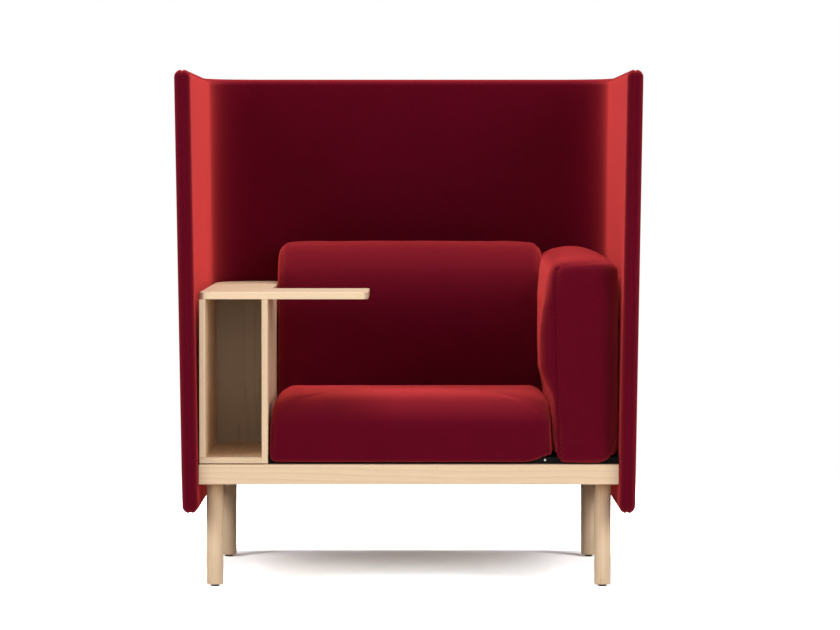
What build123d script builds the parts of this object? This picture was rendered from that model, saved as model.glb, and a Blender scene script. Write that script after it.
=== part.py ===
from build123d import *

import os
from math import radians, tan

# High-backed acoustic lounge chair: a padded U-shaped screen round an ash frame that
# carries a shelf with a small fixed table, a seat cushion, a back cushion and one tall
# arm cushion. Millimetres, +Z up, the open front faces -Y. Left and right are as seen
# from the front, so left is -X. The origin is under the middle of the overall box, on
# the floor.

# --- driving dimensions -----------------------------------------------------------

# Screen
shell_width = 1021.0  # outside, across the lower edge
shell_depth = 783.0  # outside, front edge to back, along the lower edge
shell_height = 1000.0
shell_bottom_z = 172.0
shell_flare = 1.0  # degrees that each wall leans outwards
shell_thickness = 36.5
shell_inner_corner = 105.0  # plan radius inside
shell_edge_round = 17.0  # soft edge all round the rim
core_thickness = 12.0
core_inset = 9.0  # from the rim to the plywood's edge

# Ash frame
frame_setback = 25.0  # from the screen's front edge to the front rail
frame_rear_margin = 1.1  # from where the screen's corner starts to the frame's rear
rail_height = 45.0
front_rail_thickness = 28.0
side_rail_width = 60.0
rear_rail_thickness = 28.0
beam_thickness = 30.0
beam_height = 38.0
beam_tenon = 12.0
tenon_shoulder = 5.0
rail_edge_break = 1.5
frame_dowel_d = 10.0
frame_dowel_length = 50.0
frame_dowel_spread = 16.0  # from the leg's axis to each dowel beside it
front_dowel_depth = 20.0  # into the front rail
rear_dowel_reach = 18.0  # into the side rail, short of the leg's bolt
dowel_edge_margin = 13.0  # from a rail's top or bottom to the dowel's axis

# Legs and glides
leg_diameter = 38.0
leg_length = 231.0
leg_inset_side = 34.0  # from the frame's side to the leg's axis
leg_inset_front = 50.0
leg_inset_rear = 20.0
leg_bolt_d = 8.0
leg_bolt_length = 70.0
insert_d = 12.0
insert_length = 22.0
glide_diameter = 19.5
glide_height = 5.0
glide_edge_break = 1.2
glide_stem_d = 8.0
glide_stem_length = 28.0

# Seat platform
platform_thickness = 15.0
platform_setback = 15.0  # from the front rail's face to the platform's edge
platform_screw_d = 5.0
platform_screw_length = 45.0
platform_screw_head_d = 10.0
platform_screw_head = 3.0
bracket_screw_bite = 12.0  # into the platform
stud_diameter = 6.0
stud_height = 3.0
stud_edge_break = 1.5
stud_up_edge = 9.0  # from the platform's underside to the stud's axis
stud_from_seat_end = 18.0

# Shelf and table
shelf_width = 155.0
shelf_depth = 400.0
shelf_height = 371.0  # underside of the bottom board to underside of the table
shelf_setback = 3.0  # from the front rail's face
shelf_side_gap = 1.5  # from the frame's side
board_thickness = 14.0
board_edge_break = 1.0
spacer_thickness = 2.0
spacer_inset = 8.0
spacer_width = 30.0
shelf_dowel_d = 6.0
shelf_dowel_length = 20.0
shelf_dowel_from_end = 45.0
shelf_screw_d = 6.0
shelf_screw_bite = 10.0  # into the bottom board
shelf_screws_back = (160.0, 300.0)  # from the shelf's front edge, in the side rail
shelf_screw_aside = 39.0  # from the shelf's right face, in the front rail
shelf_screw_length = 46.0
shelf_screw_head_d = 12.0
table_thickness = 16.0
table_width = 382.0
table_front_depth = 240.0
table_corner = 16.0
table_edge_break = 2.0  # along the upper rim
table_rear_gap = 8.0  # from the table's rear edge to the screen

# Screen fixings
shell_bolt_d = 6.0
shell_bolt_head_d = 13.0
shell_bolt_head = 5.0
shell_bolt_count = 3
shell_bolt_end_margin = 90.0  # from a side rail's end to the outer bolts
bracket_width = 50.0
bracket_thickness = 4.0
bracket_leg = 70.0
bracket_drop = 60.0
bracket_spacing = 480.0
bracket_screw_d = 5.0
bracket_screw_head_d = 9.0
bracket_screw_head = 2.5
bracket_screw_from_bend = 45.0

# Cushions
seat_depth = 430.0
seat_side_height = 133.5
seat_crown = 12.5
seat_front_swell = 8.0
seat_roll = 36.0  # rounding of the long top edges
seat_end_roll = 26.0
seat_setback = 5.0  # from the front rail's face to the cushion's front
back_side_height = 450.0
back_crown = 28.0
back_front_swell = 14.0
back_lean = 45.0  # how far the front face leans back over its height
back_roll = 45.0
back_end_roll = 24.0
arm_width = 149.5  # between the seat cushion and the screen
arm_side_height = 444.0
arm_crown = 26.0
arm_inner_swell = 20.0
arm_press = 3.0  # how far the seat and back cushions press the arm cushion's side in
arm_roll = 30.0
arm_end_roll = 14.0
arm_setback = 3.0  # from the front rail's face to the cushion's front
foam_margin = 28.0  # padding and cover round each foam core

# Small round things are drawn with few sides
round_sides = 14
fastener_sides = 6  # hidden dowels, bolts and screws

# Clearances
frame_to_shell = 0.6
board_gap = 0.5
soft_gap = 0.4
foam_gap = 0.3
bolt_gap = 0.05
pad_hole_gap = 0.5
glide_gap = 0.3
fixed_fit = 0.02

# --- heights and faces that follow from them ------------------------------------------

flare = tan(radians(shell_flare))
leg_bottom_z = glide_height + glide_gap
frame_bottom_z = leg_bottom_z + leg_length
frame_top_z = frame_bottom_z + rail_height
platform_top_z = frame_top_z + platform_thickness
shell_front_y = -(shell_depth + (shell_height - shell_edge_round) * flare) / 2
shell_rear_y = shell_front_y + shell_depth
shell_outer_corner = shell_inner_corner + shell_thickness


def screen_growth(z):
    """How far every wall of the screen stands out at height z, against its lower edge."""
    return (z - shell_bottom_z) * flare


def inside_half_width(z):
    return shell_width / 2 - shell_thickness + screen_growth(z)


def inside_rear_y(z):
    return shell_rear_y - shell_thickness + screen_growth(z)


frame_half_width = inside_half_width(frame_bottom_z) - frame_to_shell
frame_front_y = shell_front_y + frame_setback
frame_rear_y = inside_rear_y(frame_bottom_z) - shell_inner_corner - frame_rear_margin
side_rail_front_y = frame_front_y + front_rail_thickness
side_rail_inner_x = frame_half_width - side_rail_width
platform_front_y = frame_front_y + platform_setback
platform_half_width = inside_half_width(frame_top_z) - frame_to_shell
platform_rear_y = inside_rear_y(frame_top_z) - frame_to_shell
bracket_rear_y = inside_rear_y(frame_top_z - bracket_drop) - frame_to_shell

shelf_left_x = -frame_half_width + shelf_side_gap
shelf_right_x = shelf_left_x + shelf_width
shelf_front_y = frame_front_y + shelf_setback
shelf_rear_y = shelf_front_y + shelf_depth
shelf_bottom_z = frame_top_z + spacer_thickness
shelf_floor_z = shelf_bottom_z + board_thickness
table_bottom_z = shelf_bottom_z + shelf_height
table_rear_y = inside_rear_y(table_bottom_z) - table_rear_gap

cushion_bottom_z = platform_top_z + soft_gap
arm_right_x = inside_half_width(cushion_bottom_z) - soft_gap
arm_left_x = arm_right_x - arm_width
seat_left_x = shelf_right_x + board_gap
seat_right_x = arm_left_x - soft_gap
seat_front_y = frame_front_y + seat_setback
seat_rear_y = seat_front_y + seat_depth
seat_side_top_z = cushion_bottom_z + seat_side_height
back_front_y = seat_rear_y + soft_gap
cushion_rear_y = inside_rear_y(cushion_bottom_z) - soft_gap
arm_front_y = frame_front_y + arm_setback

leg_x = frame_half_width - leg_inset_side
front_leg_y = frame_front_y + leg_inset_front
rear_leg_y = frame_rear_y - leg_inset_rear
leg_spots = {
    "front_left": (-leg_x, front_leg_y),
    "front_right": (leg_x, front_leg_y),
    "rear_left": (-leg_x, rear_leg_y),
    "rear_right": (leg_x, rear_leg_y),
}


# --- helpers --------------------------------------------------------------------------


def block(x_low, x_high, y_low, y_high, z_low, z_high):
    """A box between two corners."""
    middle = ((x_low + x_high) / 2, (y_low + y_high) / 2, (z_low + z_high) / 2)
    return Pos(*middle) * Box(x_high - x_low, y_high - y_low, z_high - z_low)


def eased_board(x_low, x_high, y_low, y_high, z_low, z_high, edge_break):
    """A board with all its edges broken."""
    board = block(x_low, x_high, y_low, y_high, z_low, z_high)
    return chamfer(board.edges(), edge_break)


def post(x, y, z_low, z_high, diameter):
    """An upright cylinder."""
    return Pos(x, y, (z_low + z_high) / 2) * Cylinder(diameter / 2, z_high - z_low)


def pin(length, diameter, sides=fastener_sides):
    """A fastener's shank or head, or the bore for one, standing on the middle of its length."""
    outline = RegularPolygon(diameter / 2, sides)
    return extrude(outline, length / 2, both=True)


def pin_z(x, y, z_low, z_high, diameter, sides=fastener_sides):
    return Pos(x, y, (z_low + z_high) / 2) * pin(z_high - z_low, diameter, sides)


def pin_x(y, z, x_low, x_high, diameter):
    turned = Rot(0, 90, 0) * pin(abs(x_high - x_low), diameter)
    return Pos((x_low + x_high) / 2, y, z) * turned


def pin_y(x, z, y_low, y_high, diameter):
    turned = Rot(90, 0, 0) * pin(y_high - y_low, diameter)
    return Pos(x, (y_low + y_high) / 2, z) * turned


def side_plane(x):
    """Upright plane across X, with Y across and Z up."""
    return Plane(origin=(x, 0, 0), x_dir=(0, 1, 0), z_dir=(1, 0, 0))


def front_plane(y):
    """Upright plane across Y, with X across and Z up."""
    return Plane(origin=(0, y, 0), x_dir=(1, 0, 0), z_dir=(0, -1, 0))


def on_side(x, side):
    """The place on the left (side -1) or right (side 1), given the one on the right."""
    return x * side


def gathered(pieces):
    """Separate solids kept together under one name."""
    return Compound(children=list(pieces))


# --- screen ---------------------------------------------------------------------------


def screen_block(offset, z_low, z_high, front_y):
    """All that lies inside the screen's outer face moved in by offset, as one leaning solid."""
    half_width = shell_width / 2 - offset
    rear = shell_rear_y - offset
    low = screen_growth(z_low)
    high = screen_growth(z_high)
    across = Polyline(
        (-half_width - low, z_low),
        (half_width + low, z_low),
        (half_width + high, z_high),
        (-half_width - high, z_high),
        close=True,
    )
    deep = Polyline(
        (front_y, z_low), (rear + low, z_low), (rear + high, z_high), (front_y, z_high), close=True
    )
    from_front = extrude(front_plane(0) * make_face(across), shell_depth, both=True)
    from_side = extrude(side_plane(0) * make_face(deep), shell_width, both=True)
    body = from_front & from_side
    half_height = (z_high - z_low) / 2
    upright = body.edges().filter_by(lambda edge: edge.bounding_box().size.Z > half_height)
    return fillet(upright.sort_by(Axis.Y)[-2:], shell_outer_corner - offset)


def shell_body():
    """The whole padded screen: a leaning U with a soft edge all round."""
    top_z = shell_bottom_z + shell_height
    outer = screen_block(0, shell_bottom_z, top_z, shell_front_y)
    inner = screen_block(shell_thickness, shell_bottom_z, top_z, shell_front_y)
    body = outer - inner
    rim = body.edges().filter_by(lambda edge: edge_on_rim(edge, top_z))
    return fillet(rim, shell_edge_round)


def edge_on_rim(edge, top_z):
    """True for the edges of the lower, upper and front faces that the soft edge follows."""
    box = edge.bounding_box()
    low = box.max.Z < shell_bottom_z + 1
    high = box.min.Z > top_z - 1
    front = box.max.Y < shell_front_y + 1
    crosses_wall = front and (low or high)
    return (low or high or front) and not crosses_wall


def core_space(gap):
    """The space round the plywood in the middle of the padding."""
    middle = shell_thickness / 2
    half = core_thickness / 2 + gap
    z_low = shell_bottom_z + core_inset - gap
    z_high = shell_bottom_z + shell_height - core_inset + gap
    front_y = shell_front_y + core_inset - gap
    outer = screen_block(middle - half, z_low, z_high, front_y)
    return outer - screen_block(middle + half, z_low, z_high, front_y)


def bolt_places():
    """Heights and depths of the bolts that hold the screen to the side rails."""
    first = side_rail_front_y + shell_bolt_end_margin
    last = frame_rear_y - shell_bolt_end_margin
    step = (last - first) / (shell_bolt_count - 1)
    height = frame_bottom_z + rail_height / 2
    return [(first + step * number, height) for number in range(shell_bolt_count)]


def bolt_end_x(z):
    """How far out the bolts reach: the outer face of the plywood."""
    return inside_half_width(z) + shell_thickness / 2 + core_thickness / 2


def bolt_bores(gap):
    """Straight bores for the bolts on both sides, with the given clearance."""
    bores = []
    for y, z in bolt_places():
        for side in (-1, 1):
            start = on_side(side_rail_inner_x - 1, side)
            end = on_side(bolt_end_x(z), side)
            bores.append(pin_x(y, z, start, end, shell_bolt_d + 2 * gap))
    return bores


def bracket_xs():
    return (-bracket_spacing / 2, bracket_spacing / 2)


def bracket_screw_z():
    return frame_top_z - bracket_screw_from_bend


def wall_screw_end_y(z):
    return inside_rear_y(z) + shell_thickness / 2


def wall_bores(gap):
    """Bores for the screws from the brackets into the plywood behind."""
    z = bracket_screw_z()
    start = bracket_rear_y - bracket_thickness - 1
    end = wall_screw_end_y(z)
    return [pin_y(x, z, start, end, bracket_screw_d + 2 * gap) for x in bracket_xs()]


def make_shell():
    """Plywood core, and the padding in front of it and behind it, which meet in a seam."""
    body = shell_body()
    z_low = shell_bottom_z - 1
    z_high = shell_bottom_z + shell_height + 1
    inside = screen_block(shell_thickness / 2, z_low, z_high, shell_front_y - 1)
    hollow = core_space(foam_gap)
    core = core_space(0)
    inner_pad = (body & inside) - hollow
    outer_pad = body - inside - hollow
    for bore in bolt_bores(bolt_gap) + wall_bores(bolt_gap):
        core = core - bore
    for bore in bolt_bores(pad_hole_gap) + wall_bores(pad_hole_gap):
        inner_pad = inner_pad - bore
    return {
        "shell_core": core,
        "shell_inner_upholstery": inner_pad,
        "shell_outer_upholstery": outer_pad,
    }


def make_shell_fixings():
    """Bolts through the side rails, and two steel brackets behind the platform."""
    bolts = []
    for y, z in bolt_places():
        for side in (-1, 1):
            head_end = side_rail_inner_x + shell_bolt_head
            head = pin_x(
                y,
                z,
                on_side(side_rail_inner_x, side),
                on_side(head_end, side),
                shell_bolt_head_d,
            )
            shank = pin_x(
                y, z, on_side(head_end, side), on_side(bolt_end_x(z), side), shell_bolt_d
            )
            bolts.append(head + shank)
    brackets = []
    screws = []
    rear = bracket_rear_y
    screw_z = bracket_screw_z()
    for x in bracket_xs():
        low_x = x - bracket_width / 2
        high_x = x + bracket_width / 2
        flat = block(
            low_x, high_x, rear - bracket_leg, rear, frame_top_z - bracket_thickness, frame_top_z
        )
        upright = block(
            low_x, high_x, rear - bracket_thickness, rear, frame_top_z - bracket_drop, frame_top_z
        )
        hole = pin_y(
            x, screw_z, rear - bracket_thickness - 1, rear + 1, bracket_screw_d + 2 * bolt_gap
        )
        top_hole = pin_z(
            x,
            rear - bracket_screw_from_bend,
            frame_top_z - bracket_thickness - 1,
            frame_top_z + 1,
            bracket_screw_d + 2 * bolt_gap,
        )
        brackets.append(flat + upright - hole - top_hole)
        head_y = rear - bracket_thickness
        screws.append(
            pin_y(x, screw_z, head_y - bracket_screw_head, head_y, bracket_screw_head_d)
            + pin_y(x, screw_z, head_y, wall_screw_end_y(screw_z), bracket_screw_d)
        )
        under = frame_top_z - bracket_thickness
        screw_y = rear - bracket_screw_from_bend
        screws.append(
            pin_z(x, screw_y, under - bracket_screw_head, under, bracket_screw_head_d)
            + pin_z(x, screw_y, under, frame_top_z + bracket_screw_bite, bracket_screw_d)
        )
    return {
        "shell_bolts": gathered(bolts),
        "shell_brackets": gathered(brackets),
        "bracket_screws": gathered(screws),
    }


# --- frame ----------------------------------------------------------------------------


def dowel_heights():
    return (frame_bottom_z + dowel_edge_margin, frame_top_z - dowel_edge_margin)


def frame_dowels(gap):
    """Dowels from the front rail into the side rails, and from these into the rear rail."""
    size = frame_dowel_d + 2 * gap
    middle_z = (frame_bottom_z + frame_top_z) / 2
    rear_rail_y = frame_rear_y - rear_rail_thickness / 2
    front_low = side_rail_front_y - front_dowel_depth
    front_high = front_low + frame_dowel_length
    rear_end = side_rail_inner_x + rear_dowel_reach
    rear_start = rear_end - frame_dowel_length
    dowels = []
    for side in (-1, 1):
        for spread in (-frame_dowel_spread, frame_dowel_spread):
            x = on_side(leg_x + spread, side)
            dowels.append(pin_y(x, middle_z, front_low - gap, front_high + gap, size))
        for z in dowel_heights():
            low_x = on_side(rear_start - gap, side)
            high_x = on_side(rear_end + gap, side)
            dowels.append(pin_x(rear_rail_y, z, low_x, high_x, size))
    return dowels


def beam_ys():
    """The two cross beams stand at one third and two thirds of the side rails."""
    length = frame_rear_y - rear_rail_thickness - side_rail_front_y
    return (side_rail_front_y + length / 3, side_rail_front_y + 2 * length / 3)


def beam(y, gap):
    """A cross beam with a stub tenon at each end."""
    low_y = y - beam_thickness / 2
    high_y = y + beam_thickness / 2
    low_z = frame_top_z - beam_height
    body = block(
        -side_rail_inner_x, side_rail_inner_x, low_y, high_y, low_z, frame_top_z
    )
    reach = side_rail_inner_x + beam_tenon + gap
    tenon = block(
        -reach,
        reach,
        low_y + tenon_shoulder - gap,
        high_y - tenon_shoulder + gap,
        low_z + tenon_shoulder - gap,
        frame_top_z - tenon_shoulder + gap,
    )
    return body, body + tenon, tenon


def leg_bolt_top_z():
    return frame_bottom_z + leg_bolt_length / 2


def side_rail(side):
    """Left or right rail, with bores for bolts and dowels and mortises for the beams."""
    inner = on_side(side_rail_inner_x, side)
    outer = on_side(frame_half_width, side)
    rail = eased_board(
        min(inner, outer),
        max(inner, outer),
        side_rail_front_y,
        frame_rear_y,
        frame_bottom_z,
        frame_top_z,
        rail_edge_break,
    )
    cuts = frame_dowels(bolt_gap) + bolt_bores(bolt_gap)
    for y, z in bolt_places():
        head_end = on_side(side_rail_inner_x + shell_bolt_head, side)
        start = on_side(side_rail_inner_x - 1, side)
        cuts.append(pin_x(y, z, start, head_end, shell_bolt_head_d + 2 * bolt_gap))
    for y in beam_ys():
        cuts.append(beam(y, fixed_fit)[2])
    for x, y in leg_spots.values():
        cuts.append(pin_z(x, y, frame_bottom_z - 1, leg_bolt_top_z(), leg_bolt_d + 2 * bolt_gap))
    cuts += shelf_screws(bolt_gap)
    cuts += platform_screws(bolt_gap)
    for cut in cuts:
        rail = rail - cut
    return rail


def make_frame():
    """Rails, beams and dowels."""
    front = eased_board(
        -frame_half_width,
        frame_half_width,
        frame_front_y,
        side_rail_front_y,
        frame_bottom_z,
        frame_top_z,
        rail_edge_break,
    )
    rear = eased_board(
        -side_rail_inner_x,
        side_rail_inner_x,
        frame_rear_y - rear_rail_thickness,
        frame_rear_y,
        frame_bottom_z,
        frame_top_z,
        rail_edge_break,
    )
    for cut in frame_dowels(bolt_gap) + shelf_screws(bolt_gap) + platform_screws(bolt_gap):
        front = front - cut
        rear = rear - cut
    return {
        "front_rail": front,
        "rear_rail": rear,
        "left_side_rail": side_rail(-1),
        "right_side_rail": side_rail(1),
        "cross_beams": gathered(beam(y, 0)[1] for y in beam_ys()),
        "frame_dowels": gathered(frame_dowels(0)),
    }


# --- legs -----------------------------------------------------------------------------


def make_legs():
    """Turned legs, the bolts that hold them, threaded inserts and screw-in glides."""
    parts = {}
    bolts = []
    inserts = []
    insert_top_z = leg_bottom_z + insert_length
    stem_top_z = glide_height + glide_stem_length
    bolt_bottom_z = leg_bolt_top_z() - leg_bolt_length
    insert_bore_d = glide_stem_d + 2 * bolt_gap
    for place, (x, y) in leg_spots.items():
        leg = post(x, y, leg_bottom_z, frame_bottom_z, leg_diameter)
        leg = leg - pin_z(x, y, leg_bottom_z - 1, insert_top_z, insert_d + 2 * fixed_fit)
        leg = leg - pin_z(x, y, leg_bottom_z, stem_top_z + glide_gap, insert_bore_d + 2 * glide_gap)
        bolt_bore_d = leg_bolt_d + 2 * bolt_gap
        leg = leg - pin_z(x, y, bolt_bottom_z, frame_bottom_z + 1, bolt_bore_d)
        parts["leg_" + place] = leg
        bolts.append(pin_z(x, y, bolt_bottom_z, leg_bolt_top_z(), leg_bolt_d))
        sleeve = pin_z(x, y, leg_bottom_z, insert_top_z, insert_d)
        inserts.append(sleeve - pin_z(x, y, leg_bottom_z - 1, insert_top_z + 1, insert_bore_d))
        pad = pin_z(x, y, 0, glide_height, glide_diameter, round_sides)
        pad = chamfer(pad.edges().group_by(Axis.Z)[0], glide_edge_break)
        parts["glide_" + place] = pad + pin_z(x, y, glide_height - 1, stem_top_z, glide_stem_d)
    parts["leg_bolts"] = gathered(bolts)
    parts["glide_inserts"] = gathered(inserts)
    return parts


# --- platform -------------------------------------------------------------------------


def platform_screw_spots():
    """Into the side rails and the two cross rails, clear of the bolts below."""
    rail_x = side_rail_inner_x + side_rail_width / 4
    first, second = beam_ys()
    front_y = side_rail_front_y - front_rail_thickness / 4
    rear_y = frame_rear_y - rear_rail_thickness / 2
    return [
        (rail_x, (first + second) / 2),
        (0, rear_y),
        (rail_x / 2, rear_y),
        (-rail_x / 2, rear_y),
        (rail_x / 2, front_y),
        (-rail_x / 2, front_y),
    ]


def platform_screws(gap):
    """Countersunk screws down through the platform."""
    screws = []
    head_z = platform_top_z - platform_screw_head
    for x, y in platform_screw_spots():
        tip_z = platform_top_z - platform_screw_length
        head = pin_z(x, y, head_z, platform_top_z, platform_screw_head_d + 2 * gap)
        screws.append(head + pin_z(x, y, tip_z - gap, head_z, platform_screw_d + 2 * gap))
    return screws


def make_platform():
    """Black board on the frame, cut away under the shelf, with a stud in its front edge."""
    corner = shell_inner_corner - frame_to_shell
    depth = platform_rear_y - platform_front_y
    outline = Rectangle(2 * platform_half_width, depth)
    outline = fillet(outline.vertices().sort_by(Axis.Y)[2:], corner)
    flat = Pos(0, platform_front_y + depth / 2, frame_top_z) * outline
    board = extrude(flat.face(), platform_thickness)
    board = board - block(
        -platform_half_width - 1,
        shelf_right_x + board_gap,
        platform_front_y - 1,
        shelf_rear_y + board_gap,
        frame_top_z - 1,
        platform_top_z + 1,
    )
    for cut in platform_screws(bolt_gap):
        board = board - cut
    bore_y = bracket_rear_y - bracket_screw_from_bend
    bore_top_z = frame_top_z + bracket_screw_bite
    bore_d = bracket_screw_d + 2 * bolt_gap
    for x in bracket_xs():
        board = board - pin_z(x, bore_y, frame_top_z - 1, bore_top_z, bore_d)
    stud_x = seat_right_x - stud_from_seat_end
    stud_y = platform_front_y - stud_height / 2
    stud = Rot(90, 0, 0) * pin(stud_height, stud_diameter, round_sides)
    stud = Pos(stud_x, stud_y, frame_top_z + stud_up_edge) * stud
    return {
        "seat_platform": board,
        "platform_screws": gathered(platform_screws(0)),
        "cushion_stud": chamfer(stud.edges().group_by(Axis.Y)[0], stud_edge_break),
    }


# --- shelf and table ------------------------------------------------------------------


def shelf_side_xs():
    """The middles of the two upright boards."""
    return (shelf_left_x + board_thickness / 2, shelf_right_x - board_thickness / 2)


def shelf_dowel_ys():
    return (shelf_front_y + shelf_dowel_from_end, shelf_rear_y - shelf_dowel_from_end)


def shelf_dowels(gap):
    """Dowels from the uprights into the table, and from the bottom board into them."""
    half = shelf_dowel_length / 2
    size = shelf_dowel_d + 2 * gap
    dowels = []
    left_x, right_x = shelf_side_xs()
    for y in shelf_dowel_ys():
        for x in (left_x, right_x):
            top = table_bottom_z + half + gap
            dowels.append(pin_z(x, y, table_bottom_z - half - gap, top, size))
        low = shelf_floor_z - half - gap
        dowels.append(pin_z(left_x, y, low, shelf_floor_z + half + gap, size))
        middle_z = shelf_bottom_z + board_thickness / 2
        face_x = shelf_right_x - board_thickness
        start = face_x - half - gap
        dowels.append(pin_x(y, middle_z, start, face_x + half + gap, size))
    return dowels


def shelf_screws(gap):
    """Screws up through the rails into the shelf's bottom board."""
    tip_z = shelf_bottom_z + shelf_screw_bite
    screws = []
    rail_x = shelf_left_x + side_rail_width / 2
    front_spot = (shelf_right_x - shelf_screw_aside, frame_front_y + front_rail_thickness / 2)
    spots = [(rail_x, shelf_front_y + back) for back in shelf_screws_back] + [front_spot]
    for x, y in spots:
        head_z = tip_z - shelf_screw_length
        head = pin_z(
            x, y, frame_bottom_z - gap, head_z + gap, shelf_screw_head_d + 2 * gap
        )
        screws.append(head + pin_z(x, y, head_z, tip_z + gap, shelf_screw_d + 2 * gap))
    return screws


def make_shelf():
    """Four boards round the open compartment; the right one runs on to the screen."""
    left_x, right_x = shelf_side_xs()
    half = board_thickness / 2
    left = eased_board(
        left_x - half,
        left_x + half,
        shelf_front_y,
        shelf_rear_y,
        shelf_floor_z,
        table_bottom_z,
        board_edge_break,
    )
    right_rear_y = inside_rear_y(shelf_bottom_z) - board_gap
    right = eased_board(
        right_x - half,
        right_x + half,
        shelf_front_y,
        right_rear_y,
        shelf_bottom_z,
        table_bottom_z,
        board_edge_break,
    )
    right = right - block(
        right_x - board_thickness,
        right_x + board_thickness,
        shelf_rear_y + board_gap,
        right_rear_y + 1,
        shelf_bottom_z - 1,
        platform_top_z + board_gap,
    )
    bottom = eased_board(
        shelf_left_x,
        right_x - half,
        shelf_front_y,
        shelf_rear_y,
        shelf_bottom_z,
        shelf_floor_z,
        board_edge_break,
    )
    back = block(
        left_x + half,
        right_x - half,
        shelf_rear_y - board_thickness,
        shelf_rear_y,
        shelf_floor_z,
        table_bottom_z,
    )
    for cut in shelf_dowels(bolt_gap):
        left = left - cut
        right = right - cut
        bottom = bottom - cut
    for cut in shelf_screws(bolt_gap):
        bottom = bottom - cut
    return {
        "shelf_left_side": left,
        "shelf_right_side": right,
        "shelf_bottom": bottom,
        "shelf_back": back,
        "shelf_dowels": gathered(shelf_dowels(0)),
        "shelf_screws": gathered(shelf_screws(0)),
        "shelf_spacers": shelf_spacers(),
    }


def shelf_spacers():
    """Black strips that hold the shelf just off the rails."""
    low_x = shelf_left_x + spacer_inset
    front = block(
        low_x,
        shelf_right_x - spacer_inset,
        shelf_front_y + spacer_inset,
        side_rail_front_y,
        frame_top_z,
        shelf_bottom_z,
    )
    side = block(
        low_x,
        low_x + spacer_width,
        side_rail_front_y + spacer_width,
        shelf_rear_y - spacer_width,
        frame_top_z,
        shelf_bottom_z,
    )
    strips = front + side
    for cut in shelf_screws(bolt_gap):
        strips = strips - cut
    return strips


def is_free_corner(corner):
    """True for the table's rear corner over the seat."""
    step_y = shelf_front_y + table_front_depth
    end_x = shelf_left_x + table_width
    return abs(corner.X - end_x) < 1 and abs(corner.Y - step_y) < 1


def make_table():
    """L-shaped top: a wide front part over the seat, and a strip back to the screen."""
    front_y = shelf_front_y
    step_y = front_y + table_front_depth
    end_x = shelf_left_x + table_width
    middle_x = (shelf_left_x + end_x) / 2
    wide = Pos(middle_x, (front_y + step_y) / 2) * Rectangle(table_width, table_front_depth)
    strip_middle = (shelf_left_x + shelf_width / 2, (front_y + table_rear_y) / 2)
    strip = Pos(*strip_middle) * Rectangle(shelf_width, table_rear_y - front_y)
    outline = (wide + strip).clean()
    wall_gap = inside_half_width(table_bottom_z) + shelf_left_x
    rear_corner = shell_inner_corner - wall_gap
    rear_left = outline.vertices().sort_by(Axis.Y)[-2:].sort_by(Axis.X)[0]
    outline = fillet(rear_left, rear_corner)
    outline = fillet(outline.vertices().sort_by(Axis.Y)[:2], table_corner)
    outline = fillet(outline.vertices().filter_by(is_free_corner), table_corner)
    plate = extrude((Pos(0, 0, table_bottom_z) * outline).face(), table_thickness)
    plate = chamfer(plate.edges().group_by(Axis.Z)[-1], table_edge_break)
    for cut in shelf_dowels(bolt_gap):
        plate = plate - cut
    return {"table_top": plate}


# --- cushions -------------------------------------------------------------------------


def puffed_profile(lows, highs, swell, crown, roll, lean=0.0):
    """A cushion's section: flat foot, one side that swells, crowned top, rolled top edges.

    lows and highs are (across, up); the side at low across swells and may lean.
    """
    left, bottom = lows
    right, top = highs
    foot_left = (left, bottom)
    foot_right = (right, bottom)
    top_left = (left + lean, top)
    top_right = (right, top)
    belly = (left + lean / 2 - swell, (bottom + top) / 2)
    peak = ((left + lean + right) / 2, top + crown)
    edges = [
        Line(foot_left, foot_right),
        Line(foot_right, top_right),
        ThreePointArc(top_right, peak, top_left),
        ThreePointArc(top_left, belly, foot_left),
    ]
    section = make_face(edges)
    return fillet(section.vertices().sort_by(Axis.Y)[2:], roll)


def rim_edges(end_face):
    """The edges round a cushion's end, but for the one that it rests on."""
    rests_below = cushion_bottom_z + soft_gap
    return end_face.edges().filter_by(lambda edge: edge.bounding_box().max.Z > rests_below)


def across_seat(section, end_roll):
    """A cushion of this section from the shelf to the arm cushion."""
    form = extrude(side_plane(seat_left_x) * section, seat_right_x - seat_left_x)
    ends = form.faces().sort_by(Axis.X)
    return fillet(rim_edges(ends[0]) + rim_edges(ends[-1]), end_roll)


def seat_form():
    """Seat cushion, rolled at its ends and pressed flat behind."""
    section = puffed_profile(
        (seat_front_y + seat_front_swell, cushion_bottom_z),
        (seat_rear_y, seat_side_top_z),
        seat_front_swell,
        seat_crown,
        seat_roll,
    )
    return across_seat(section, seat_end_roll)


def back_form():
    """Back cushion: a leaning, swelling front face under a full rolled top."""
    section = puffed_profile(
        (back_front_y + back_front_swell, cushion_bottom_z),
        (cushion_rear_y, cushion_bottom_z + back_side_height),
        back_front_swell,
        back_crown,
        back_roll,
        back_lean,
    )
    return across_seat(section, back_end_roll)


def outside_corner_of_screen():
    """What a cushion loses at its rear right corner, where the screen turns."""
    radius = shell_inner_corner - soft_gap
    centre_x = arm_right_x - radius
    centre_y = cushion_rear_y - radius
    z_high = shell_bottom_z + shell_height
    square = block(
        centre_x,
        centre_x + 2 * radius,
        centre_y,
        centre_y + 2 * radius,
        cushion_bottom_z - 1,
        z_high,
    )
    return square - post(centre_x, centre_y, cushion_bottom_z - 2, z_high + 1, 2 * radius)


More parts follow.
